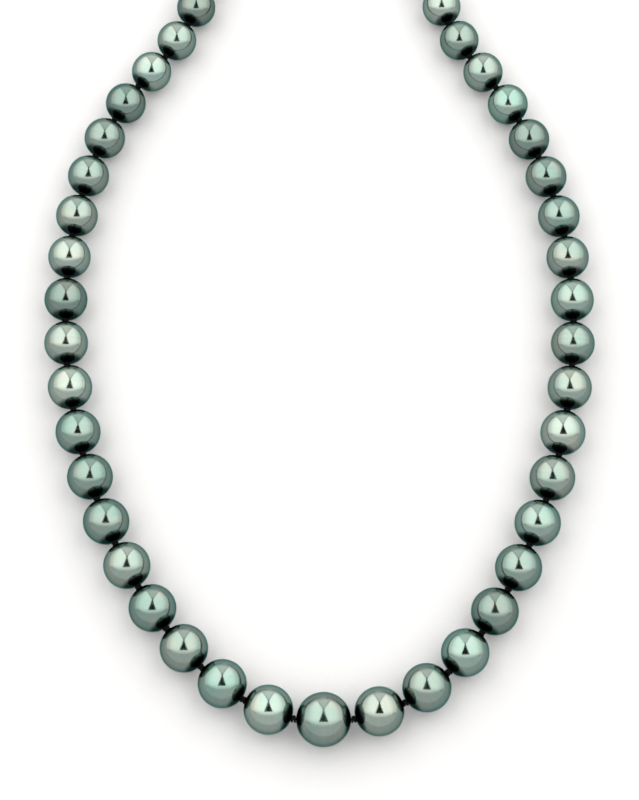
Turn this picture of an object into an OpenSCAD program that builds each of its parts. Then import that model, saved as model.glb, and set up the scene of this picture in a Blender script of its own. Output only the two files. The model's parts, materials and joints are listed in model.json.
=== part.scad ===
// Graduated pearl necklace, knotted on silk, with a ball clasp that is undone.
// It lies flat on a surface at z = 0. The centre pearl is towards -Y, the clasp towards +Y.
// All sizes are in millimetres. The origin is under the middle of the whole necklace.

/* [Pearls] */
// Diameter of the centre pearl
center_pearl_d = 11; // [9:0.1:13.5]
// Diameter of the two pearls next to the centre pearl
shoulder_pearl_d = 10; // [8:0.1:12]
// Diameter of the last pearl at each end
end_pearl_d = 8.5; // [7:0.1:10.2]
// Diameter of the hole drilled through each pearl
bore_d = 1; // [0.8:0.05:1.2]
// Width of the bevel at each mouth of the hole
bore_bevel = 0.12; // [0.05:0.01:0.15]

/* [Silk] */
// Diameter of the silk cord
silk_d = 0.7; // [0.5:0.02:0.84]
// Space that a knot holds open between two pearls
knot_gap = 0.95; // [0.8:0.05:1.2]
// Diameter of a knot, across the strand
knot_d = 1.5; // [1.2:0.05:1.8]
// Clearance between a knot and the pearl on each side of it
knot_clearance = 0.08; // [0.06:0.01:0.1]

/* [Gimp loops] */
// Diameter of the coiled gimp wire that covers the silk loop
gimp_d = 0.84; // [0.7:0.02:0.9]
// Wall of the gimp
gimp_wall = 0.16; // [0.1:0.01:0.2]
// Clearance between the gimp and the silk inside it
gimp_clearance = 0.06; // [0.04:0.01:0.1]
// Radius of the loop, at the middle of the gimp
gimp_loop_r = 1.25; // [1.15:0.05:1.6]
// How far each gimp reaches into the last pearl
gimp_depth = 2; // [1:0.1:3]
// Clearance between the gimp and the hole of the last pearl, on each side
gimp_hole_clearance = 0.08; // [0.05:0.01:0.12]

/* [Clasp] */
// Diameter of the closed ball
ball_d = 8.5; // [7:0.1:10.2]
// Wall of the hollow ball
ball_wall = 0.5; // [0.4:0.05:0.8]
// Height of the domed cap that the tongue is fixed to
cap_h = 1.65; // [1.2:0.05:2]
// Diameter of the wire of the two soldered rings
ring_wire_d = 0.64; // [0.5:0.02:0.8]
// Radius of a ring, at the middle of its wire
ring_r = 1.15; // [1.1:0.05:1.5]
// Width of the tongue
tongue_w = 3.8; // [3:0.1:4.4]
// Clearance between the tip of the tongue and the inside of the closed ball
tip_clearance = 1; // [0.5:0.1:1.5]
// Thickness of the tongue and of the spring leaf
leaf_t = 0.32; // [0.25:0.01:0.4]
// Radius of the fold at the tip of the tongue
fold_r = 0.55; // [0.5:0.01:0.6]
// Angle between the spring leaf and the tongue when nothing presses it
leaf_angle = 9; // [7:0.5:10]
// Width of the thumb tab
tab_w = 1.2; // [1:0.1:1.6]
// How far the thumb tab stands out of the closed ball
tab_proud = 0.7; // [0.4:0.1:1.2]
// Clearance of the tongue in its slot, on each side
slot_clearance = 0.2; // [0.1:0.05:0.3]

/* [Hidden] */
$fn = 64;
SIDE_COUNT = 22; // pearls on each side of the centre pearl
LEFT = -1;
RIGHT = 1;

function two_digits(i) = i < 10 ? str("0", i) : str(i);
function pearl_name(side, i) = str(side == LEFT ? "pearl_left_" : "pearl_right_", two_digits(i));

// How the strand lies: its direction at some of the pearls, counted from the centre pearl.
// 0 points away from the centre pearl along X, 90 along +Y.
LEFT_LAY = [[0, 0], [1, 22], [2, 38], [3, 48], [4, 56], [6, 67], [8, 76], [10, 85], [12, 94],
            [14, 105], [16, 120], [17, 128], [18, 120], [20, 102], [22, 90]];
RIGHT_LAY = [[0, 0], [1, 19], [2, 36], [3, 50], [4, 59], [6, 69], [8, 78], [10, 86], [12, 96],
             [14, 107], [16, 120], [17, 126], [18, 118], [20, 100], [22, 90]];

function pearl_d(i) = i == 0 ? center_pearl_d
    : shoulder_pearl_d + (end_pearl_d - shoulder_pearl_d) * (i - 1) / (SIDE_COUNT - 1);
function hole_d(i) = i < SIDE_COUNT ? bore_d : max(bore_d, gimp_d + 2 * gimp_hole_clearance);
function link(i) = pearl_d(i) + knot_gap;
function lay(side, i) = lookup(i, side == LEFT ? LEFT_LAY : RIGHT_LAY);
function flat_dir(side, i) = [side * cos(lay(side, i)), sin(lay(side, i))];
function knot_z(i) = i == 0 ? center_pearl_d / 2
    : (pearl_d(i) + pearl_d(min(i + 1, SIDE_COUNT))) / 4;

// Middles of the knots, from the centre pearl outwards. The last is where a knot would be
// beyond the end pearl.
function knots(side) = [for (i = 0, p = [side * link(0) / 2, 0]; i <= SIDE_COUNT;
    i = i + 1, p = p + link(i) * flat_dir(side, i)) [p[0], p[1], knot_z(i)]];
LEFT_KNOTS = knots(LEFT);
RIGHT_KNOTS = knots(RIGHT);
function knot_at(side, i) = side == LEFT ? LEFT_KNOTS[i] : RIGHT_KNOTS[i];
function pearl_at(side, i) = i == 0 ? [0, 0, center_pearl_d / 2]
    : (knot_at(side, i - 1) + knot_at(side, i)) / 2;

// Where the strand ends: the outer pole of the last pearl, and the yaw it points in
end_r = end_pearl_d / 2;
function end_yaw(side) = side == LEFT ? 180 - lay(side, SIDE_COUNT) : lay(side, SIDE_COUNT);
function end_dir(side) = [cos(end_yaw(side)), sin(end_yaw(side)), 0];
function end_at(side) = pearl_at(side, SIDE_COUNT) + end_r * end_dir(side);

// Gimp loop and clasp ring, along the strand from its end
gimp_r = gimp_d / 2;
gimp_bore_r = gimp_r - gimp_wall;
silk_loop_r = gimp_bore_r - gimp_clearance;
ring_wire_r = ring_wire_d / 2;
loop_play = 0.12;
ring_clearance = 0.04; // from a ring to the gimp, where the ring leans as far as its loop lets it
gimp_loop_x = gimp_r + gimp_loop_r + loop_play;
ring_to_gimp = gimp_r + ring_wire_r + loop_play; // between the middles of their wires
pivot_x = gimp_loop_x + gimp_loop_r - ring_to_gimp;
function pivot_at(side) = end_at(side) + pivot_x * end_dir(side);

// Clasp halves, along their own length from the pivot
ball_r = ball_d / 2;
pole_x = 2 * ring_r + ring_wire_r + 0.1;
ball_x = pole_x + ball_r;
mouth_x = ball_r - cap_h; // from the ball's middle to its flat mouth
mouth_r = sqrt(ball_r * ball_r - mouth_x * mouth_x);
face_x = pole_x + cap_h;
tongue_l = mouth_x + ball_r - ball_wall - tip_clearance - fold_r; // to the middle of its fold
fold_x = face_x + tongue_l;
leaf_gap = 0.07; // between the fold and the spring leaf that turns on it
leaf_low = fold_r - leaf_t;
leaf_l = tongue_l - fold_r - leaf_gap - ball_wall - slot_clearance;
slot_h = 2 * (fold_r + slot_clearance / 2);
slot_w = tongue_w + 2 * slot_clearance;
tab_x = slot_clearance; // from the face to the thumb tab
tab_top = mouth_r + tab_proud - tongue_l * sin(leaf_angle); // with the leaf pressed flat
notch_l = tab_x + leaf_t + slot_clearance + tab_top * sin(leaf_angle);
notch_w = tab_w + 2 * slot_clearance;

// The ball rests on the surface. The tongue half leans until its cap or its fold does, or
// until its ring meets the gimp.
ball_pitch = asin((ball_r - end_r) / ball_x);
edge_lean = asin(min(1, end_r / norm([face_x, mouth_r]))) - atan2(mouth_r, face_x);
fold_lean = asin((end_r - fold_r) / fold_x);
ring_inner_r = ring_r - gimp_r - ring_wire_r - ring_clearance;
ring_lean = acos((ring_r * ring_r + ring_to_gimp * ring_to_gimp - ring_inner_r * ring_inner_r)
    / (2 * ring_r * ring_to_gimp));
tongue_pitch = -min(edge_lean, fold_lean, ring_lean);

// Middle of the whole necklace, seen from above. Both clasp halves point along +Y.
outline = concat([[0, 0, center_pearl_d / 2]],
    [for (side = [LEFT, RIGHT], i = [1:SIDE_COUNT])
        [pearl_at(side, i)[0], pearl_at(side, i)[1], pearl_d(i) / 2]]);
ball_y = pivot_at(LEFT)[1] + (ball_x + mouth_x) * cos(ball_pitch) + mouth_r * abs(sin(ball_pitch));
tongue_y = pivot_at(RIGHT)[1] + fold_x * cos(tongue_pitch) + fold_r;
x_low = min([for (p = outline) p[0] - p[2]]);
x_high = max([for (p = outline) p[0] + p[2]]);
y_low = min([for (p = outline) p[1] - p[2]]);
y_high = max(ball_y, tongue_y);
middle = [(x_low + x_high) / 2, (y_low + y_high) / 2, 0];

SILK = "#15131a";
WHITE_GOLD = "#d9d6cf";
GIMP = "#8f8a80";
PEARL_COLOURS = ["#5d665f", "#6e7a74", "#59686b", "#7d7a72", "#4f5a55", "#66716f", "#6b6a70"];
function pearl_colour(i) = PEARL_COLOURS[(3 * i + 2) % len(PEARL_COLOURS)];

// ---- Placing ----

// Puts the children's +Z along the direction v, with their origin at a point
module facing(at, v) {
    translate(at - middle) rotate([0, acos(v[2] / norm(v)), atan2(v[1], v[0])]) children();
}

// Puts the children's +X outwards along the strand, with their origin at a point past its end
module past_end(side, at, pitch) {
    translate(at - middle) rotate([0, -pitch, end_yaw(side)]) children();
}

module at_end(side) { past_end(side, end_at(side), 0) children(); }
module at_ball() { past_end(LEFT, pivot_at(LEFT), ball_pitch) children(); }
module at_tongue() { past_end(RIGHT, pivot_at(RIGHT), tongue_pitch) children(); }

// ---- Pearls ----

module drilled_pearl(i) {
    difference() {
        sphere(d = pearl_d(i));
        cylinder(d = hole_d(i), h = pearl_d(i) + 1, center = true);
        for (end = [0, 1]) mirror([0, 0, end]) translate([0, 0, pearl_d(i) / 2 - bore_bevel - 0.02])
            cylinder(h = 2 * bore_bevel, d1 = hole_d(i), d2 = hole_d(i) + 4 * bore_bevel);
    }
}

module pearl_center() {
    color(pearl_colour(0))
        facing(pearl_at(LEFT, 0), knot_at(RIGHT, 0) - knot_at(LEFT, 0)) drilled_pearl(0);
}

module side_pearl(side, i) {
    color(pearl_colour(i + (side == LEFT ? 4 : 0)))
        facing(pearl_at(side, i), knot_at(side, i) - knot_at(side, i - 1)) drilled_pearl(i);
}

// ---- Silk ----

// A knot is a round bun, drawn about +Z
module knot() {
    rim_r = knot_gap / 2 - knot_clearance;
    rim_x = knot_d / 2 - rim_r;
    rotate_extrude() {
        translate([0, -rim_r]) square([rim_x, 2 * rim_r]);
        translate([rim_x, 0]) intersection() {
            circle(r = rim_r);
            translate([-min(rim_x, rim_r), -rim_r]) square([2 * rim_r, 2 * rim_r]);
        }
    }
}

// One straight length of silk, from a to b
module silk_length(a, b) {
    facing((a + b) / 2, b - a) cylinder(d = silk_d, h = norm(b - a), center = true);
}

// The ring that the gimp and the silk inside it make beyond the last pearl
module end_loop(r) {
    translate([gimp_loop_x, 0, 0]) rotate_extrude() translate([gimp_loop_r, 0]) circle(r = r);
}

// From inside the last pearl out to the loop
module end_neck(r) {
    translate([-gimp_depth, 0, 0]) rotate([0, 90, 0])
        cylinder(r = r, h = gimp_depth + gimp_loop_x - gimp_loop_r);
}

module silk_side(side) {
    for (i = [1:SIDE_COUNT - 1]) silk_length(knot_at(side, i - 1), knot_at(side, i));
    silk_length(knot_at(side, SIDE_COUNT - 1), end_at(side) - gimp_depth * end_dir(side));
    for (i = [0:SIDE_COUNT - 1])
        facing(knot_at(side, i), pearl_at(side, i + 1) - pearl_at(side, i)) knot();
    at_end(side) {
        end_neck(silk_loop_r);
        end_loop(silk_loop_r);
    }
}

module silk_cord() {
    color(SILK) union() {
        silk_length(knot_at(LEFT, 0), knot_at(RIGHT, 0));
        silk_side(LEFT);
        silk_side(RIGHT);
    }
}

module gimp(side) {
    color(GIMP) at_end(side) difference() {
        union() {
            end_neck(gimp_r);
            end_loop(gimp_r);
        }
        end_neck(gimp_bore_r);
        end_loop(gimp_bore_r);
    }
}

// ---- Clasp ----

// The sphere that the ball and its cap are cut from, with its poles along the clasp
module whole_ball(r = ball_r) {
    translate([ball_x, 0, 0]) rotate([0, 90, 0]) sphere(r = r);
}

// Everything up to x, as wide as the ball
module up_to(x) {
    translate([ball_x - ball_d, -ball_d, -ball_d]) cube([x - ball_x + ball_d, 2 * ball_d, 2 * ball_d]);
}

// A block between two places along the clasp, centred across it
module slab(x0, x1, w, z0, z1) {
    translate([x0, -w / 2, z0]) cube([x1 - x0, w, z1 - z0]);
}

// The hollow ball has a flat mouth with a slot for the tongue and a notch for the thumb tab
module clasp_ball() {
    mouth = ball_x + mouth_x;
    color(WHITE_GOLD) at_ball() difference() {
        intersection() {
            whole_ball();
            up_to(mouth);
        }
        intersection() {
            whole_ball(ball_r - ball_wall);
            up_to(mouth - ball_wall);
        }
        slab(mouth - 2 * ball_wall, mouth + 1, slot_w, -slot_h / 2, slot_h / 2);
        slab(mouth - notch_l, mouth + 1, notch_w, 0, ball_d);
    }
}

// The soldered ring and its stem, which meets the ball or the dome of the cap
module soldered_ring() {
    difference() {
        union() {
            translate([ring_r, 0, 0]) rotate([90, 0, 0])
                rotate_extrude() translate([ring_r, 0]) circle(d = ring_wire_d);
            translate([2 * ring_r, 0, 0]) rotate([0, 90, 0])
                cylinder(r = 1.3 * ring_wire_r, h = ball_r / 2);
        }
        whole_ball();
    }
}

module clasp_ball_ring() {
    color(WHITE_GOLD) at_ball() soldered_ring();
}

module clasp_cap() {
    color(WHITE_GOLD) at_tongue() intersection() {
        whole_ball();
        up_to(face_x);
    }
}

module clasp_cap_ring() {
    color(WHITE_GOLD) at_tongue() soldered_ring();
}

// The lower leaf, and the fold at its tip
module clasp_tongue() {
    color(WHITE_GOLD) at_tongue() {
        slab(face_x, fold_x - leaf_low, tongue_w, -fold_r, -leaf_low);
        translate([fold_x, 0, 0]) rotate([90, 0, 0]) difference() {
            cylinder(r = fold_r, h = tongue_w, center = true);
            cylinder(r = leaf_low, h = tongue_w + 1, center = true);
        }
    }
}

// The upper leaf, drawn from the middle of the fold towards the cap, and its thumb tab
module clasp_spring_leaf() {
    root = fold_r + leaf_gap;
    color(WHITE_GOLD) at_tongue() translate([fold_x, 0, 0]) rotate([0, leaf_angle, 0]) {
        slab(-root - leaf_l, -root, tongue_w, leaf_low, fold_r);
        slab(tab_x - tongue_l, -root - leaf_l, tab_w, leaf_low, fold_r);
        slab(tab_x - tongue_l, tab_x - tongue_l + leaf_t, tab_w, leaf_low, tab_top);
    }
}

// ---- Parts ----

pearl_center();
for (side = [LEFT, RIGHT], i = [1:SIDE_COUNT])
    side_pearl(side, i);
silk_cord();
gimp(LEFT);  // gimp_left
gimp(RIGHT);  // gimp_right
clasp_ball();
clasp_ball_ring();
clasp_cap();
clasp_cap_ring();
clasp_tongue();
clasp_spring_leaf();
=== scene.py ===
import json
import math
import bmesh
import bpy
from mathutils import Matrix, Vector


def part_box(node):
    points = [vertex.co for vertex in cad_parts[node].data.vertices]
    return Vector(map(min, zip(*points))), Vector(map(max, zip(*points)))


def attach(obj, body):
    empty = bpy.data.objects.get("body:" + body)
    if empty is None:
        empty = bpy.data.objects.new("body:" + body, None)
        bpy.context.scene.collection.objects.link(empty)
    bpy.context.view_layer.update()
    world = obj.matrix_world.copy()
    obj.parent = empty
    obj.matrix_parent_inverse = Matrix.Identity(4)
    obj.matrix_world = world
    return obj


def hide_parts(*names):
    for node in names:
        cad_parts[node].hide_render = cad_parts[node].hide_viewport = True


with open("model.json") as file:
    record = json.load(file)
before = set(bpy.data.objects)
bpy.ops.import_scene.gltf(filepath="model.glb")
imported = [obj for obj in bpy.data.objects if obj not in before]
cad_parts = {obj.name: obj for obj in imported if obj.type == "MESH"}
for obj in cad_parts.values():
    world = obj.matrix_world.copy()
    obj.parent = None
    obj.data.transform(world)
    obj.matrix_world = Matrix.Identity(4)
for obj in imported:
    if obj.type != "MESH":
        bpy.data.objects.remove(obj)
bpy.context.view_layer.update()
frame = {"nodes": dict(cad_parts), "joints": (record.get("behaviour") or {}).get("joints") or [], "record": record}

# ==== The drilled pearls ====
# Dark sea pearls, near round, matched in colour and graded in size from the middle out.
# Each is nacre grown in thin layers round a bead and polished only by the oyster.
# It is drilled pole to pole, with a small bevel at each mouth so that the silk isn't cut.

MM = 0.001
KNOT_GAP = 0.95 * MM
BORE = 1.0 * MM
MOUTH_BEVEL = 0.12 * MM
OUT_OF_ROUND = 0.035 * MM
PEARLS_EACH_SIDE = 22
SIDES = ("left", "right")
joints = {joint["name"]: joint for joint in frame["joints"]}


def put(tree, kind, settings=None, **given):
    """Adds a node to a tree. A given socket or node is linked to the input of that name, and a
    given value is set on it. "at3" is the input with the number 3."""
    made_node = tree.nodes.new(kind)
    for name, value in (settings or {}).items():
        setattr(made_node, name, value)
    for name, value in given.items():
        key = int(name[2:]) if name.startswith("at") else name.replace("_", " ")
        socket = made_node.inputs[key]
        if isinstance(value, bpy.types.Node):
            value = value.outputs[0]
        if isinstance(value, bpy.types.NodeSocket):
            tree.links.new(value, socket)
        else:
            socket.default_value = value
    return made_node


def calc(tree, operation, *values):
    """One step of arithmetic, as a Math node."""
    numbered = {f"at{index}": value for index, value in enumerate(values)}
    return put(tree, "ShaderNodeMath", {"operation": operation}, **numbered).outputs[0]


def calc_vector(tree, operation, first, second):
    """One step of vector arithmetic, as a Vector Math node."""
    return put(tree, "ShaderNodeVectorMath", {"operation": operation}, at0=first, at1=second).outputs["Vector"]


def scaled(tree, vector, scale):
    """A vector made longer or shorter."""
    return put(tree, "ShaderNodeVectorMath", {"operation": "SCALE"}, at0=vector, Scale=scale).outputs["Vector"]


def together(tree, x=0.0, y=0.0, z=0.0):
    """A vector from its three parts."""
    return put(tree, "ShaderNodeCombineXYZ", X=x, Y=y, Z=z).outputs[0]


def recipe(name, **sizes):
    """A Geometry Nodes tree with one named input for each size, and a Material. Returns the tree
    and its inputs."""
    tree = bpy.data.node_groups.new(name, "GeometryNodeTree")
    tree.interface.new_socket("Geometry", in_out="OUTPUT", socket_type="NodeSocketGeometry")
    for size, start in sizes.items():
        kind = "Vector" if isinstance(start, tuple) else "Float"
        label = size.replace("_", " ")
        socket = tree.interface.new_socket(label, in_out="INPUT", socket_type="NodeSocket" + kind)
        socket.default_value = start
    tree.interface.new_socket("Material", in_out="INPUT", socket_type="NodeSocketMaterial")
    return tree, tree.nodes.new("NodeGroupInput").outputs


def finish_recipe(tree, given, geometry):
    """Smooth shading, Realize Instances and Set Material end every tree."""
    smooth = put(tree, "GeometryNodeSetShadeSmooth", Geometry=geometry)
    real = put(tree, "GeometryNodeRealizeInstances", Geometry=smooth.outputs[0])
    coated = put(tree, "GeometryNodeSetMaterial", Geometry=real.outputs[0], Material=given["Material"])
    put(tree, "NodeGroupOutput", at0=coated.outputs[0])


def made_from(tree, name, material, place=None, **sizes):
    """A plain mesh object made by a tree, with its place put into its mesh."""
    piece = bpy.data.objects.new(name, bpy.data.meshes.new(name + "_start"))
    bpy.context.scene.collection.objects.link(piece)
    modifier = piece.modifiers.new("recipe", "NODES")
    modifier.node_group = tree
    sizes["Material"] = material
    for socket in tree.interface.items_tree:
        key = socket.name.replace(" ", "_")
        if socket.in_out == "INPUT" and key in sizes:
            modifier[socket.identifier] = sizes[key]
    depsgraph = bpy.context.evaluated_depsgraph_get()
    mesh = bpy.data.meshes.new_from_object(piece.evaluated_get(depsgraph), preserve_all_data_layers=True,
                                           depsgraph=depsgraph)
    piece.modifiers.remove(modifier)
    mesh.name = name
    piece.data = mesh
    if place is not None:
        mesh.transform(place)
    return piece


def facing(at, along, turn=0.0):
    """Puts the local +Z along a direction, after a turn round it, with the origin at a point."""
    aimed = along.to_track_quat("Z", "Y").to_matrix().to_4x4()
    return Matrix.Translation(at) @ aimed @ Matrix.Rotation(turn, 4, "Z")


# A round profile that closes through the hole is swept round the hole's axis. Its two end
# points move in to the hole's wall, which leaves the bevel. "grown" is the place on a unit
# pearl and "tone" is one number for each pearl, and the nacre reads both.
RINGS, ROUND, SPINDLE = 61, 72, 1 * MM
pearl_recipe, given = recipe("drilled pearl", Diameter=0.01, Bore=0.001, Bevel=0.00012, Unevenness=0.00003,
                             Seed=0.0, Tone=0.5)
radius = calc(pearl_recipe, "MULTIPLY", given["Diameter"], 0.5)
bore_radius = calc(pearl_recipe, "MULTIPLY", given["Bore"], 0.5)
mouth_radius = calc(pearl_recipe, "ADD", bore_radius, given["Bevel"])
mouth_angle = calc(pearl_recipe, "ARCSINE", calc(pearl_recipe, "DIVIDE", mouth_radius, radius))
first_angle = calc(pearl_recipe, "DIVIDE", calc(pearl_recipe, "SUBTRACT", mouth_angle, math.pi / (RINGS - 1)),
                   1 - 2 / (RINGS - 1))
profile = put(pearl_recipe, "GeometryNodeCurveArc", Resolution=RINGS, Radius=radius,
              Start_Angle=calc(pearl_recipe, "SUBTRACT", first_angle, math.pi / 2),
              Sweep_Angle=calc(pearl_recipe, "SUBTRACT", math.pi, calc(pearl_recipe, "MULTIPLY", first_angle, 2.0)))
place = put(pearl_recipe, "GeometryNodeInputPosition").outputs[0]
place_xyz = put(pearl_recipe, "ShaderNodeSeparateXYZ", Vector=place)
mouth_height = calc(pearl_recipe, "MULTIPLY", radius, calc(pearl_recipe, "COSINE", mouth_angle))
mouth_height = calc(pearl_recipe, "SUBTRACT", mouth_height, given["Bevel"])
which_end = calc(pearl_recipe, "SIGN", place_xyz.outputs["Y"])
mouth_point = together(pearl_recipe, x=bore_radius, y=calc(pearl_recipe, "MULTIPLY", which_end, mouth_height))
bevelled = put(pearl_recipe, "GeometryNodeSetPosition", Geometry=profile, Position=mouth_point,
               Selection=put(pearl_recipe, "GeometryNodeCurveEndpointSelection"))
closed = put(pearl_recipe, "GeometryNodeSetSplineCyclic", Geometry=bevelled, Cyclic=True)
moved = put(pearl_recipe, "GeometryNodeTransform", Geometry=closed, Translation=(-SPINDLE, 0, 0))
spindle = put(pearl_recipe, "GeometryNodeCurvePrimitiveCircle", Resolution=ROUND, Radius=SPINDLE)
turned = put(pearl_recipe, "GeometryNodeCurveToMesh", Curve=spindle, Profile_Curve=moved)
unit_place = scaled(pearl_recipe, place, calc(pearl_recipe, "DIVIDE", 1.0, radius))
lumps = put(pearl_recipe, "ShaderNodeTexNoise", {"noise_dimensions": "4D"}, Vector=unit_place, W=given["Seed"],
            Scale=0.9, Detail=1.0)
swell = calc(pearl_recipe, "MULTIPLY", calc(pearl_recipe, "SUBTRACT", lumps, 0.5),
             calc(pearl_recipe, "MULTIPLY", given["Unevenness"], 2.0))
uneven = put(pearl_recipe, "GeometryNodeSetPosition", Geometry=turned, Offset=scaled(pearl_recipe, unit_place, swell))
grown = put(pearl_recipe, "GeometryNodeStoreNamedAttribute", {"data_type": "FLOAT_VECTOR", "domain": "POINT"},
            Geometry=uneven, Name="grown", Value=unit_place)
toned = put(pearl_recipe, "GeometryNodeStoreNamedAttribute", {"data_type": "FLOAT", "domain": "POINT"},
            Geometry=grown, Name="tone", Value=given["Tone"])
finish_recipe(pearl_recipe, given, toned)


def effect(name, inputs, outputs):
    """A shader node group with named inputs and outputs. Returns the group, its inputs and its outputs."""
    group = bpy.data.node_groups.new(name, "ShaderNodeTree")
    for label, start in inputs.items():
        kind = {3: "Vector", 4: "Color"}[len(start)] if isinstance(start, tuple) else "Float"
        group.interface.new_socket(label, in_out="INPUT", socket_type="NodeSocket" + kind).default_value = start
    for label, kind in outputs.items():
        group.interface.new_socket(label, in_out="OUTPUT", socket_type="NodeSocket" + kind)
    return group, group.nodes.new("NodeGroupInput").outputs, group.nodes.new("NodeGroupOutput").inputs


def mixed(tree, share, first, second):
    """Two colours mixed by a share from 0 to 1."""
    mix = put(tree, "ShaderNodeMix", {"data_type": "RGBA", "clamp_factor": True}, at0=share, at6=first, at7=second)
    return mix.outputs[2]


def ramped(tree, value, low, high, start=0.0, end=1.0):
    """A smooth step from start to end as a value goes from low to high."""
    return put(tree, "ShaderNodeMapRange", {"interpolation_type": "SMOOTHSTEP"},
               Value=value, From_Min=low, From_Max=high, To_Min=start, To_Max=end).outputs[0]


def new_material(name):
    """A material with only a Principled shader in it. Returns the material, its tree and the shader."""
    material = bpy.data.materials.new(name)
    material.use_nodes = True
    return material, material.node_tree, material.node_tree.nodes["Principled BSDF"]


# Nacre: broad clouds of overtone, faint bands where the pearl turned as it grew, a fine
# grain in the lustre, and a few tiny pits, darkened in colour as painted shade. Round the
# drilled ends the colour is darkened too, as painted shade and painted reflection of the
# neighbouring pearls and knots.
nacre, nacre_in, nacre_out = effect(
    "nacre", {"Grown": (0.0, 0.0, 0.0), "Tone": 0.5, "Body": (0.3, 0.35, 0.32, 1), "Overtone": (0.3, 0.4, 0.36, 1),
              "Blush": (0.36, 0.33, 0.35, 1), "Sheen Grain": 0.03},
    {"Color": "Color", "Roughness": "Float", "Normal": "Vector"})
seed = calc(nacre, "MULTIPLY", nacre_in["Tone"], 37.0)


def grown_noise(seed, **settings):
    """Noise in the nacre, which is different in each pearl."""
    noise = put(nacre, "ShaderNodeTexNoise", {"noise_dimensions": "4D"}, Vector=nacre_in["Grown"], W=seed, **settings)
    return noise.outputs[0]


clouds = grown_noise(seed, Scale=0.8, Detail=2.0, Distortion=0.3)
flush = grown_noise(calc(nacre, "ADD", seed, 11.0), Scale=1.3, Detail=1.0)
grain = grown_noise(seed, Scale=34.0, Detail=3.0, Roughness=0.6)
up_axis = put(nacre, "ShaderNodeSeparateXYZ", Vector=nacre_in["Grown"]).outputs["Z"]
bands = put(nacre, "ShaderNodeTexNoise", {"noise_dimensions": "2D"}, Scale=9.0, Detail=3.0,
            Vector=together(nacre, x=up_axis, y=seed)).outputs[0]
pit_cells = put(nacre, "ShaderNodeTexVoronoi", {"voronoi_dimensions": "4D"}, Vector=nacre_in["Grown"], W=seed,
                Scale=2.6, Randomness=1.0)
rare = calc(nacre, "GREATER_THAN", put(nacre, "ShaderNodeSeparateColor", Color=pit_cells.outputs["Color"]), 0.72)
pits = calc(nacre, "MULTIPLY", ramped(nacre, pit_cells.outputs["Distance"], 0.02, 0.075, 1.0, 0.0), rare)

colour = mixed(nacre, ramped(nacre, clouds, 0.38, 0.68, 0.0, 0.85), nacre_in["Body"], nacre_in["Overtone"])
colour = mixed(nacre, ramped(nacre, flush, 0.5, 0.78, 0.0, 0.55), colour, nacre_in["Blush"])
grainy = calc(nacre, "MULTIPLY", calc(nacre, "SUBTRACT", grain, 0.5), 0.08)
value = calc(nacre, "ADD", ramped(nacre, bands, 0.3, 0.7, 0.97, 1.02), grainy)
value = calc(nacre, "MULTIPLY", value, ramped(nacre, nacre_in["Tone"], 0.0, 1.0, 0.88, 1.12))
# Painted shade: the pits are darkened in colour as well as dented and roughened.
value = calc(nacre, "MULTIPLY", value, calc(nacre, "SUBTRACT", 1.0, calc(nacre, "MULTIPLY", pits, 0.35)))
# Painted shade and painted reflection: the colour is darkened round the drilled ends, where the neighbouring pearls and
# knots sit.
painted_pole_shade = ramped(nacre, calc(nacre, "ABSOLUTE", up_axis), 0.72, 0.88, 1.0, 0.14)
value = calc(nacre, "MULTIPLY", value, painted_pole_shade)
roughness = calc(nacre, "ADD", ramped(nacre, bands, 0.3, 0.7, 0.12, 0.17), calc(nacre, "MULTIPLY", pits, 0.25))
relief = calc(nacre, "ADD", calc(nacre, "MULTIPLY", grain, nacre_in["Sheen Grain"]),
              calc(nacre, "MULTIPLY", bands, 0.05))
relief = calc(nacre, "SUBTRACT", relief, calc(nacre, "MULTIPLY", pits, 0.6))
bump = put(nacre, "ShaderNodeBump", Strength=0.25, Distance=0.04 * MM, Height=relief)
nacre.links.new(put(nacre, "ShaderNodeHueSaturation", Color=colour, Value=value).outputs[0], nacre_out["Color"])
nacre.links.new(roughness, nacre_out["Roughness"])
nacre.links.new(bump.outputs[0], nacre_out["Normal"])


def finish_from(tree, shader, group, settings, **inputs):
    """Puts a group in a material, feeds the shader from it, and sets what is the same all over on the shader."""
    look = put(tree, "ShaderNodeGroup", {"node_tree": group}, **inputs)
    for output, socket in (("Color", "Base Color"), ("Roughness", "Roughness"), ("Normal", "Normal")):
        tree.links.new(look.outputs[output], shader.inputs[socket])
    for socket, setting in settings.items():
        shader.inputs[socket].default_value = setting


def nacre_material(name, body, overtone, blush):
    """One shade of the strand's nacre. Its lustre comes from the layers and its gloss from the clear top one."""
    material, tree, shader = new_material(name)
    finish_from(tree, shader, nacre, {"Metallic": 1.0, "Specular Tint": (0.3, 0.5, 0.48, 1), "Coat Weight": 0.06,
                                      "Coat Roughness": 0.04, "Coat IOR": 1.55},
                Grown=put(tree, "ShaderNodeAttribute", {"attribute_name": "grown"}).outputs["Vector"],
                Tone=put(tree, "ShaderNodeAttribute", {"attribute_name": "tone"}).outputs["Fac"],
                Body=(*body, 1), Overtone=(*overtone, 1), Blush=(*blush, 1))
    return material


SHADES = {
    "nacre_silver_green": ((0.195, 0.232, 0.208), (0.155, 0.221, 0.199), (0.225, 0.227, 0.195)),
    "nacre_sea_green": ((0.164, 0.215, 0.193), (0.128, 0.210, 0.186), (0.190, 0.212, 0.184)),
    "nacre_dark": ((0.142, 0.179, 0.162), (0.113, 0.174, 0.157), (0.171, 0.177, 0.156)),
}
nacres = {name: nacre_material(name, *colours) for name, colours in SHADES.items()}
shade_of = {part["node"]: part["material_slot"] for part in frame["record"]["subparts"]}


def knot_place(side, number):
    """The middle of the knot before a pearl, counted from the centre pearl."""
    return Vector(joints[f"knot_{side}_{number:02d}"]["pos_m"])


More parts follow.
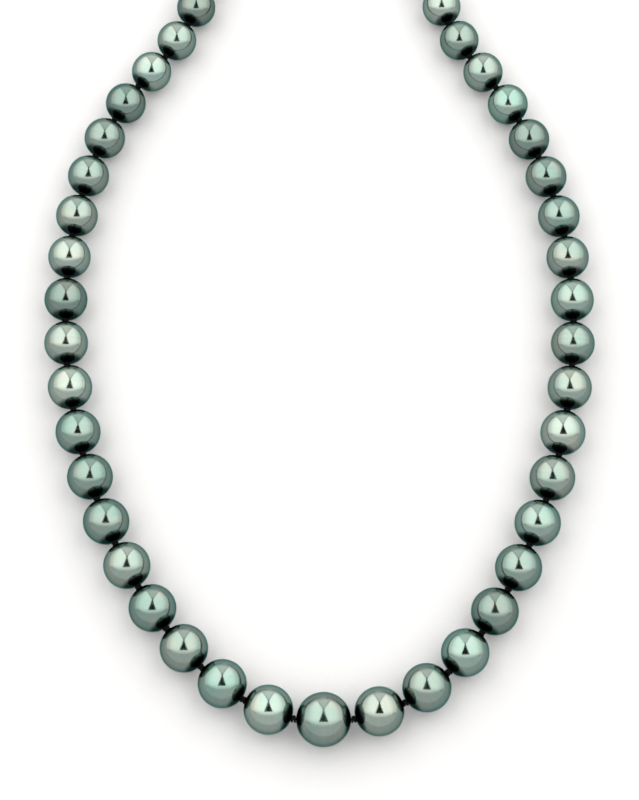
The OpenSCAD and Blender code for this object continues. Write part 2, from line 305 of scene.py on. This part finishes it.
def pearl_ends(side, number):
    """The places of the knots before and after a pearl. Past the last pearl it is where a knot would be."""
    if number == 0:
        return knot_place("left", 1), knot_place("right", 1)
    before = knot_place(side, number)
    if number < PEARLS_EACH_SIDE:
        return before, knot_place(side, number + 1)
    low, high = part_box(f"pearl_{side}_{number:02d}")
    return before, (low + high) - before


def pearl_body(side, number):
    """The body that a pearl is. The centre pearl is the middle of the strand."""
    return "strand_middle" if number == 0 else f"pearl_{side}_{number:02d}"


GOLDEN, FIRST_TONE = 0.618034, 0.31  # spreads the pearls' tones evenly from 0 to 1, in no order
strand = [("left", 0)] + [(side, number) for side in SIDES for number in range(1, PEARLS_EACH_SIDE + 1)]
for index, (side, number) in enumerate(strand):
    node = "pearl_center" if number == 0 else f"pearl_{side}_{number:02d}"
    before, after = pearl_ends(side, number)
    tone = (index * GOLDEN + FIRST_TONE) % 1.0
    place = facing((before + after) / 2, after - before, tone * 6.0)
    pearl = made_from(pearl_recipe, node + "_nacre", nacres[shade_of[node]], place,
                      Diameter=(after - before).length - KNOT_GAP, Bore=BORE, Bevel=MOUTH_BEVEL,
                      Unevenness=OUT_OF_ROUND, Seed=index * 3.7, Tone=tone)
    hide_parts(node)
    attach(pearl, pearl_body(side, number))

# ==== The silk ====
# Black silk bead cord of three plies twisted together. It runs through every hole, and a
# knot drawn tight between each two pearls keeps them from rubbing and spaces them evenly.

CORD = 0.62 * MM
PLIES = 3.0
PLY_TURN = 2 * math.pi / (1.5 * MM)
CORE_STEP = 0.25 * MM
OVERLAP = 0.1 * MM
WRAP_FROM_MIDDLE = 0.24 * MM


def cord_skin(tree, path, width):
    """A cord of twisted plies swept along a path. "along" is the length from its start and "round" the
    place round it, and the silk reads both."""
    length = put(tree, "GeometryNodeSplineParameter").outputs["Length"]
    twisted = put(tree, "GeometryNodeSetCurveTilt", Curve=path, Tilt=calc(tree, "MULTIPLY", length, PLY_TURN))
    along = put(tree, "GeometryNodeStoreNamedAttribute", {"data_type": "FLOAT", "domain": "POINT"},
                Geometry=twisted, Name="along", Value=length)
    ring = put(tree, "GeometryNodeCurvePrimitiveCircle", Resolution=15, Radius=calc(tree, "MULTIPLY", width, 0.45))
    turn = calc(tree, "MULTIPLY", put(tree, "GeometryNodeSplineParameter").outputs["Factor"], 2 * math.pi)
    bulge = calc(tree, "MULTIPLY", calc(tree, "COSINE", calc(tree, "MULTIPLY", turn, PLIES)), 0.11)
    plied = put(tree, "GeometryNodeSetPosition", Geometry=ring,
                Offset=scaled(tree, put(tree, "GeometryNodeInputPosition"), bulge))
    round_it = put(tree, "GeometryNodeStoreNamedAttribute", {"data_type": "FLOAT", "domain": "POINT"},
                   Geometry=plied, Name="round", Value=turn)
    return put(tree, "GeometryNodeCurveToMesh", Curve=along, Profile_Curve=round_it, Fill_Caps=True)


def joined(tree, *parts):
    """Several geometries as one."""
    join = tree.nodes.new("GeometryNodeJoinGeometry")
    for part in parts:
        tree.links.new(part.outputs[0], join.inputs[0])
    return join


def knotted_silk(name, far_knot):
    """The silk of one pearl: the cord through its hole, and its half of the knot at each end, or only at
    the near end. Local +Z runs along it."""
    tree, given = recipe(name, Length=0.01, Cord=0.0006, Wrap_Radius=0.0005, Wrap_Height=0.0001, Turns=1.2, Lean=0.1)
    far_end = together(tree, z=calc(tree, "ADD", given["Length"], OVERLAP))
    line = put(tree, "GeometryNodeCurvePrimitiveLine", Start=(0.0, 0.0, -OVERLAP), End=far_end)
    steps = put(tree, "GeometryNodeResampleCurve", {"mode": "LENGTH"}, Curve=line, Length=CORE_STEP)
    parts = [cord_skin(tree, steps, given["Cord"])]
    wrap = put(tree, "GeometryNodeCurveSpiral", Resolution=26, Rotations=given["Turns"],
               Start_Radius=given["Wrap Radius"], End_Radius=calc(tree, "MULTIPLY", given["Wrap Radius"], 0.94),
               Height=given["Wrap Height"])
    half_height = calc(tree, "MULTIPLY", given["Wrap Height"], 0.5)
    near, far = WRAP_FROM_MIDDLE, calc(tree, "SUBTRACT", given["Length"], WRAP_FROM_MIDDLE)
    for middle, lean_way, turn in [(near, 1.0, 0.0)] + ([(far, -1.0, 2.2)] if far_knot else []):
        rotation = together(tree, x=calc(tree, "MULTIPLY", given["Lean"], lean_way), z=turn)
        placed = put(tree, "GeometryNodeTransform", Geometry=wrap, Rotation=rotation,
                     Translation=together(tree, z=calc(tree, "SUBTRACT", middle, half_height)))
        parts.append(cord_skin(tree, placed, calc(tree, "MULTIPLY", given["Cord"], 0.7)))
    strand_arc = put(tree, "GeometryNodeCurveArc", Resolution=18, Start_Angle=-0.3, Sweep_Angle=2.9,
                     Radius=calc(tree, "MULTIPLY", given["Wrap Radius"], 1.14))
    drawn = put(tree, "GeometryNodeTransform", Geometry=strand_arc, Rotation=(-0.12, 0.08, 0.0),
                Translation=(0.0, 0.0, WRAP_FROM_MIDDLE))
    parts.append(cord_skin(tree, drawn, calc(tree, "MULTIPLY", given["Cord"], 0.58)))
    finish_recipe(tree, given, joined(tree, *parts))
    return tree


silk_through, last_silk = knotted_silk("knotted silk", True), knotted_silk("last knotted silk", False)

# Silk: fine filaments lie along each ply, with a soft sheen. Its colour is streaked along the
# filaments and darkened between the plies, which is painted shade in the creases.
silk, tree, shader = new_material("silk")
length = put(tree, "ShaderNodeAttribute", {"attribute_name": "along"}).outputs["Fac"]
turn = put(tree, "ShaderNodeAttribute", {"attribute_name": "round"}).outputs["Fac"]
strands = together(tree, calc(tree, "MULTIPLY", calc(tree, "SINE", turn), 3.0),
                   calc(tree, "MULTIPLY", calc(tree, "COSINE", turn), 3.0), calc(tree, "MULTIPLY", length, 900.0))
filaments = put(tree, "ShaderNodeTexNoise", Vector=strands, Scale=2.4, Detail=3.0).outputs[0]
# Painted shade: the silk's colour is darkened in the creases between the plies.
ply_gap = ramped(tree, calc(tree, "COSINE", calc(tree, "MULTIPLY", turn, PLIES)), -1.0, -0.3, 0.25, 1.0)
filament_streaks_and_ply_shade = calc(tree, "MULTIPLY", ramped(tree, filaments, 0.3, 0.7, 0.5, 1.25), ply_gap)
# The black dye's colour, with the filament streaks and the painted shade between the plies in it.
dye_and_ply_shade = mixed(tree, filament_streaks_and_ply_shade, (0.0005, 0.0005, 0.0006, 1), (0.003, 0.003, 0.0035, 1))
tree.links.new(dye_and_ply_shade, shader.inputs["Base Color"])
tree.links.new(ramped(tree, filaments, 0.3, 0.7, 0.42, 0.62), shader.inputs["Roughness"])
height = calc(tree, "ADD", calc(tree, "MULTIPLY", filaments, 0.5), ply_gap)
bump = put(tree, "ShaderNodeBump", Strength=0.5, Distance=0.05 * MM, Height=height)
tree.links.new(bump.outputs[0], shader.inputs["Normal"])
for socket, setting in (("Sheen Weight", 0.005), ("Sheen Roughness", 0.4), ("Specular IOR Level", 0.06)):
    shader.inputs[socket].default_value = setting

# Each pearl's silk moves with it, and the two halves of a knot meet at the middle of the knot.
for index, (side, number) in enumerate(strand):
    before, after = pearl_ends(side, number)
    is_last = number == PEARLS_EACH_SIDE
    name = "silk_center" if number == 0 else f"silk_{side}_{number:02d}"
    place = facing(before, after - before, (index * 2.4) % (2 * math.pi))
    threaded = made_from(last_silk if is_last else silk_through, name, silk, place, Cord=CORD,
                         Length=(after - before).length * (0.5 if is_last else 1.0),
                         Wrap_Radius=(0.54 + 0.04 * math.sin(index * 1.9)) * MM, Wrap_Height=0.08 * MM,
                         Turns=1.2 + 0.15 * math.sin(index * 2.7), Lean=0.03 + 0.025 * math.sin(index * 1.3 + 0.5))
    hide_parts("silk_cord")
    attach(threaded, pearl_body(side, number))

# ==== The silk loops and their gimp ====
# At each end the silk goes through the clasp's ring and back into the last pearl. There it
# wears gimp, a fine wire coiled so tightly that it is a soft metal sleeve, so that the ring
# can't saw through it.

GIMP, GIMP_WIRE, GIMP_TURNS = 0.84 * MM, 0.15 * MM, 78.0
LOOP_SILK = 0.5 * MM
LOOP_FROM, LOOP_TO, LOOP_HALF = -1.2 * MM, 3.04 * MM, 1.25 * MM
WIDEST = 0.4972  # how wide the plain tear shape is, each side of its middle


def loop_path(tree, given, points):
    """A tear shape from inside the last pearl, round and back. Local +X points out of the pearl."""
    plain = put(tree, "GeometryNodeCurvePrimitiveLine", Start=(0, 0, 0), End=(0, 0, 1))
    steps = put(tree, "GeometryNodeResampleCurve", {"mode": "COUNT"}, Curve=plain, Count=points)
    angle = calc(tree, "MULTIPLY", put(tree, "GeometryNodeSplineParameter").outputs["Factor"], 2 * math.pi)
    length = calc(tree, "SUBTRACT", given["To"], given["From"])
    outwards = calc(tree, "MULTIPLY", calc(tree, "SUBTRACT", 1.0, calc(tree, "COSINE", angle)), 0.5)
    sideways = calc(tree, "MULTIPLY", calc(tree, "SINE", angle), calc(tree, "POWER", outwards, 2.0))
    tear = together(tree, calc(tree, "ADD", given["From"], calc(tree, "MULTIPLY", length, outwards)),
                    calc(tree, "MULTIPLY", sideways, calc(tree, "MULTIPLY", given["Half Width"], 1 / WIDEST)))
    return put(tree, "GeometryNodeSetPosition", Geometry=steps, Position=tear)


loop_recipe, given = recipe("silk loop", From=-0.0012, To=0.003, Half_Width=0.00125, Inside=0.004, Cord=0.0005)
inner_end = together(loop_recipe, calc(loop_recipe, "MULTIPLY", given["Inside"], -1.0))
straight = put(loop_recipe, "GeometryNodeCurvePrimitiveLine", Start=inner_end, End=together(loop_recipe, given["From"]))
run = put(loop_recipe, "GeometryNodeResampleCurve", {"mode": "LENGTH"}, Curve=straight, Length=CORE_STEP)
tear = put(loop_recipe, "GeometryNodeResampleCurve", {"mode": "LENGTH"}, Curve=loop_path(loop_recipe, given, 96),
           Length=0.15 * MM)
finish_recipe(loop_recipe, given, joined(loop_recipe, cord_skin(loop_recipe, tear, given["Cord"]),
                                         cord_skin(loop_recipe, run, given["Cord"])))

# The wire runs along the tear shape, turning round it once for each wire's width.
gimp_recipe, given = recipe("gimp coil", From=-0.0012, To=0.003, Half_Width=0.00125, Coil_Radius=0.00034,
                            Wire=0.00015, Turns=80.0)
track = put(gimp_recipe, "GeometryNodeResampleCurve", {"mode": "COUNT"}, Curve=loop_path(gimp_recipe, given, 160),
            Count=1100)
angle = calc(gimp_recipe, "MULTIPLY", put(gimp_recipe, "GeometryNodeSplineParameter").outputs["Factor"],
             calc(gimp_recipe, "MULTIPLY", given["Turns"], 2 * math.pi))
tangent = put(gimp_recipe, "GeometryNodeInputTangent")
sideways = calc_vector(gimp_recipe, "CROSS_PRODUCT", tangent, (0.0, 0.0, 1.0))
across = calc_vector(gimp_recipe, "ADD", scaled(gimp_recipe, sideways, calc(gimp_recipe, "COSINE", angle)),
                     together(gimp_recipe, z=calc(gimp_recipe, "SINE", angle)))
coil = put(gimp_recipe, "GeometryNodeSetPosition", Geometry=track,
           Offset=scaled(gimp_recipe, across, given["Coil Radius"]))
wire = put(gimp_recipe, "GeometryNodeCurvePrimitiveCircle", Resolution=6,
           Radius=calc(gimp_recipe, "MULTIPLY", given["Wire"], 0.5))
finish_recipe(gimp_recipe, given, put(gimp_recipe, "GeometryNodeCurveToMesh", Curve=coil, Profile_Curve=wire,
                                      Fill_Caps=True))

# Wear on the metal: fine scratches that lie every way, rubbed patches and a little dulling.
metal_wear, wear_in, wear_out = effect(
    "metal wear", {"Metal": (0.8, 0.8, 0.76, 1), "Dull": (0.5, 0.5, 0.48, 1), "Gloss": 0.12, "Rubbing": 0.2,
                   "Scratches": 1.0},
    {"Color": "Color", "Roughness": "Float", "Normal": "Vector"})
here = put(metal_wear, "ShaderNodeTexCoord").outputs["Object"]
patches = put(metal_wear, "ShaderNodeTexNoise", Vector=here, Scale=600.0, Detail=4.0).outputs[0]
scratches = 0.0
for scratch_turn in (0.4, 1.9, 2.7):
    laid = put(metal_wear, "ShaderNodeMapping", Vector=here, Scale=(40.0, 3500.0, 3500.0),
               Rotation=(scratch_turn, 1.3 * scratch_turn, 0.7))
    streaks = put(metal_wear, "ShaderNodeTexNoise", Vector=laid, Scale=1.0, Detail=1.0).outputs[0]
    scratches = calc(metal_wear, "MAXIMUM", scratches, ramped(metal_wear, streaks, 0.62, 0.7))
scratches = calc(metal_wear, "MULTIPLY", scratches, wear_in["Scratches"])
dulled = ramped(metal_wear, patches, 0.45, 0.75)
rubbed = calc(metal_wear, "MULTIPLY", dulled, wear_in["Rubbing"])
roughness = calc(metal_wear, "ADD", wear_in["Gloss"], calc(
    metal_wear, "ADD", calc(metal_wear, "MULTIPLY", dulled, 0.1), calc(metal_wear, "MULTIPLY", scratches, 0.15)))
bump = put(metal_wear, "ShaderNodeBump", Strength=0.12, Distance=0.02 * MM,
           Height=calc(metal_wear, "SUBTRACT", patches, scratches))
metal_wear.links.new(mixed(metal_wear, rubbed, wear_in["Metal"], wear_in["Dull"]), wear_out["Color"])
metal_wear.links.new(roughness, wear_out["Roughness"])
metal_wear.links.new(bump.outputs[0], wear_out["Normal"])


def metal(name, colour, dull, gloss, rubbing, scratches):
    """A worn metal. It is rubbed and scratched by the shares given."""
    material, tree, shader = new_material(name)
    finish_from(tree, shader, metal_wear, {"Metallic": 1.0}, Metal=(*colour, 1), Dull=(*dull, 1), Gloss=gloss,
                Rubbing=rubbing, Scratches=scratches)
    return material


gimp_metal = metal("gimp", (0.4, 0.385, 0.36), (0.2, 0.19, 0.18), gloss=0.28, rubbing=0.8, scratches=0.3)
swings = {"left": "clasp_ball_swing", "right": "clasp_tongue_swing"}
for side in SIDES:
    before, after = pearl_ends(side, PEARLS_EACH_SIDE)
    middle, ring_joint = (before + after) / 2, Vector(joints[swings[side]]["pos_m"])
    outwards = (ring_joint - middle) * Vector((1, 1, 0))
    inside = ((after - before).length - KNOT_GAP) / 2
    yaw = math.atan2(outwards.y, outwards.x)
    place = Matrix.Translation(middle + outwards.normalized() * inside) @ Matrix.Rotation(yaw, 4, "Z")
    loop_sizes = {"From": LOOP_FROM, "To": LOOP_TO, "Half_Width": LOOP_HALF}
    loop = made_from(loop_recipe, f"silk_loop_{side}", silk, place, Inside=inside, Cord=LOOP_SILK, **loop_sizes)
    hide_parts("silk_cord")
    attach(loop, pearl_body(side, PEARLS_EACH_SIDE))
    sleeve = made_from(gimp_recipe, f"gimp_{side}_coil", gimp_metal, place, Coil_Radius=(GIMP - GIMP_WIRE) / 2,
                       Wire=GIMP_WIRE, Turns=GIMP_TURNS, **loop_sizes)
    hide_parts(f"gimp_{side}")
    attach(sleeve, pearl_body(side, PEARLS_EACH_SIDE))

# ==== The ball clasp ====
# White gold. Half the ball is a hollow socket and the other half is a tongue folded from
# springy strip, with a thumb tab. A ring of wire is soldered to each half by a short stem.

MERGE_WITHIN, FLAT_WITHIN = 0.002 * MM, math.radians(0.4)
CORNER = math.radians(40)
white_gold = metal("white_gold", (0.46, 0.445, 0.42), (0.4, 0.385, 0.36), gloss=0.1, rubbing=0.35, scratches=1.0)


def refined(node, edge):
    """A copy of a CAD node with its loose triangles merged, its edges rounded and its curves shaded smooth."""
    form = bmesh.new()
    form.from_mesh(frame["nodes"][node].data)
    bmesh.ops.remove_doubles(form, verts=form.verts, dist=MERGE_WITHIN)
    bmesh.ops.dissolve_limit(form, angle_limit=FLAT_WITHIN, verts=form.verts, edges=form.edges)
    mesh = bpy.data.meshes.new(node + "_gold")
    form.to_mesh(mesh)
    form.free()
    mesh.materials.append(white_gold)
    piece = bpy.data.objects.new(node + "_gold", mesh)
    bpy.context.scene.collection.objects.link(piece)
    rounding = piece.modifiers.new("rounded edges", "BEVEL")
    rounding.width, rounding.segments, rounding.use_clamp_overlap = edge, 2, True
    rounding.limit_method, rounding.angle_limit = "ANGLE", CORNER
    depsgraph = bpy.context.evaluated_depsgraph_get()
    final = bpy.data.meshes.new_from_object(piece.evaluated_get(depsgraph), depsgraph=depsgraph)
    piece.modifiers.clear()
    piece.data = final
    final.shade_smooth()
    final.set_sharp_from_angle(angle=CORNER)
    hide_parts(node)
    return piece


for node, body, edge in (("clasp_ball", "clasp_socket_half", 0.05), ("clasp_ball_ring", "clasp_socket_half", 0.03),
                         ("clasp_cap", "clasp_tongue_half", 0.06), ("clasp_cap_ring", "clasp_tongue_half", 0.03),
                         ("clasp_tongue", "clasp_tongue_half", 0.05), ("clasp_spring_leaf", "clasp_spring", 0.05)):
    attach(refined(node, edge * MM), body)

# ==== The table, the light and the camera ====
# A plain pale top, and two large panels of soft light hung in a roof over the necklace. There
# is a gap between them with a dark shade for the camera, and a weaker panel far behind.

FLOOR_HALF, ROOF = 4.0, 0.7


def flat_piece(name, corners, height, material):
    """A flat piece of the studio, level at a height."""
    mesh = bpy.data.meshes.new(name)
    mesh.from_pydata([(x, y, height) for x, y in corners], [], [range(len(corners))])
    mesh.materials.append(material)
    flat = bpy.data.objects.new(name, mesh)
    bpy.context.scene.collection.objects.link(flat)
    return flat


top_material, tree, shader = new_material("pale_top")
speckle = put(tree, "ShaderNodeTexNoise", Scale=900.0, Detail=2.0,
              Vector=put(tree, "ShaderNodeTexCoord").outputs["Object"])
pale = mixed(tree, speckle, (0.415, 0.415, 0.43, 1), (0.432, 0.432, 0.447, 1))
tree.links.new(pale, shader.inputs["Base Color"])
shader.inputs["Roughness"].default_value = 0.85
shader.inputs["Specular IOR Level"].default_value = 0.1
flat_piece("table_top", [(x * FLOOR_HALF, y * FLOOR_HALF) for x, y in ((-1, -1), (1, -1), (1, 1), (-1, 1))], 0.0,
           top_material)


def glow_material(name, strength):
    """Soft light that weakens towards the sides and towards the near edge."""
    material = bpy.data.materials.new(name)
    material.use_nodes = True
    tree = material.node_tree
    tree.nodes.clear()
    place = put(tree, "ShaderNodeSeparateXYZ", Vector=put(tree, "ShaderNodeTexCoord").outputs["Object"])
    to_sides = ramped(tree, calc(tree, "ABSOLUTE", place.outputs["X"]), 0.1, 2.4, strength, strength * 0.6)
    to_front = ramped(tree, place.outputs["Y"], -0.85, -0.2, 0.4, 1.0)
    glow = put(tree, "ShaderNodeEmission", Color=(1.0, 0.985, 0.935, 1),
               Strength=calc(tree, "MULTIPLY", to_sides, to_front))
    put(tree, "ShaderNodeOutputMaterial", Surface=glow)
    return material


bright, weak = glow_material("light_panel", 3.9), glow_material("light_panel_far", 2.2)
shade, tree, shader = new_material("camera_shade")
shader.inputs["Base Color"].default_value = (0.004, 0.004, 0.004, 1)
shader.inputs["Roughness"].default_value = 1.0
PANEL = [(0.0, -0.72), (6.0, -1.1), (7.0, 5.5), (1.3, 3.2), (0.03, 0.2), (0.11, -0.08), (0.27, -0.42), (0.0, -0.42)]
BACK_PANEL = [(-1.15, 3.2), (0.0, 0.34), (1.15, 3.2)]
CAMERA_SHADE = [(-0.4, -0.5), (0.4, -0.5), (0.05, 0.3), (-0.05, 0.3)]
over_table = [flat_piece("light_panel_right", PANEL, ROOF, bright),
              flat_piece("light_panel_left", [(-x, y) for x, y in PANEL], ROOF, bright),
              flat_piece("light_panel_back", BACK_PANEL, ROOF, weak),
              flat_piece("camera_shade", CAMERA_SHADE, ROOF + 0.01, shade)]
for piece in over_table:
    piece.visible_camera = False

world = bpy.data.worlds.new("studio")
bpy.context.scene.world = world
world.use_nodes = True
world.node_tree.nodes["Background"].inputs[0].default_value = (1.45, 1.46, 1.46, 1)

CAMERA_FROM_AIM, CAMERA_TILT, CAMERA_ROLL = 0.497, math.radians(67.57), 0.0034
AIM_FROM_CENTRE_PEARL = Vector((-0.00104, 0.0713, 0.0))
before, after = pearl_ends("left", 0)
aim = (before + after) / 2 + AIM_FROM_CENTRE_PEARL
aim.z = 0.0
camera = bpy.data.objects.new("camera", bpy.data.cameras.new("camera"))
bpy.context.scene.collection.objects.link(camera)
camera.data.lens, camera.data.sensor_width = 104.7, 36.0
camera.location = aim + CAMERA_FROM_AIM * Vector((0.0, -math.cos(CAMERA_TILT), math.sin(CAMERA_TILT)))
camera.rotation_euler = (aim - camera.location).to_track_quat("-Z", "Y").to_euler()
camera.rotation_euler.rotate_axis("Z", CAMERA_ROLL)
bpy.context.scene.camera = camera
bpy.context.scene.view_settings.view_transform = "Standard"
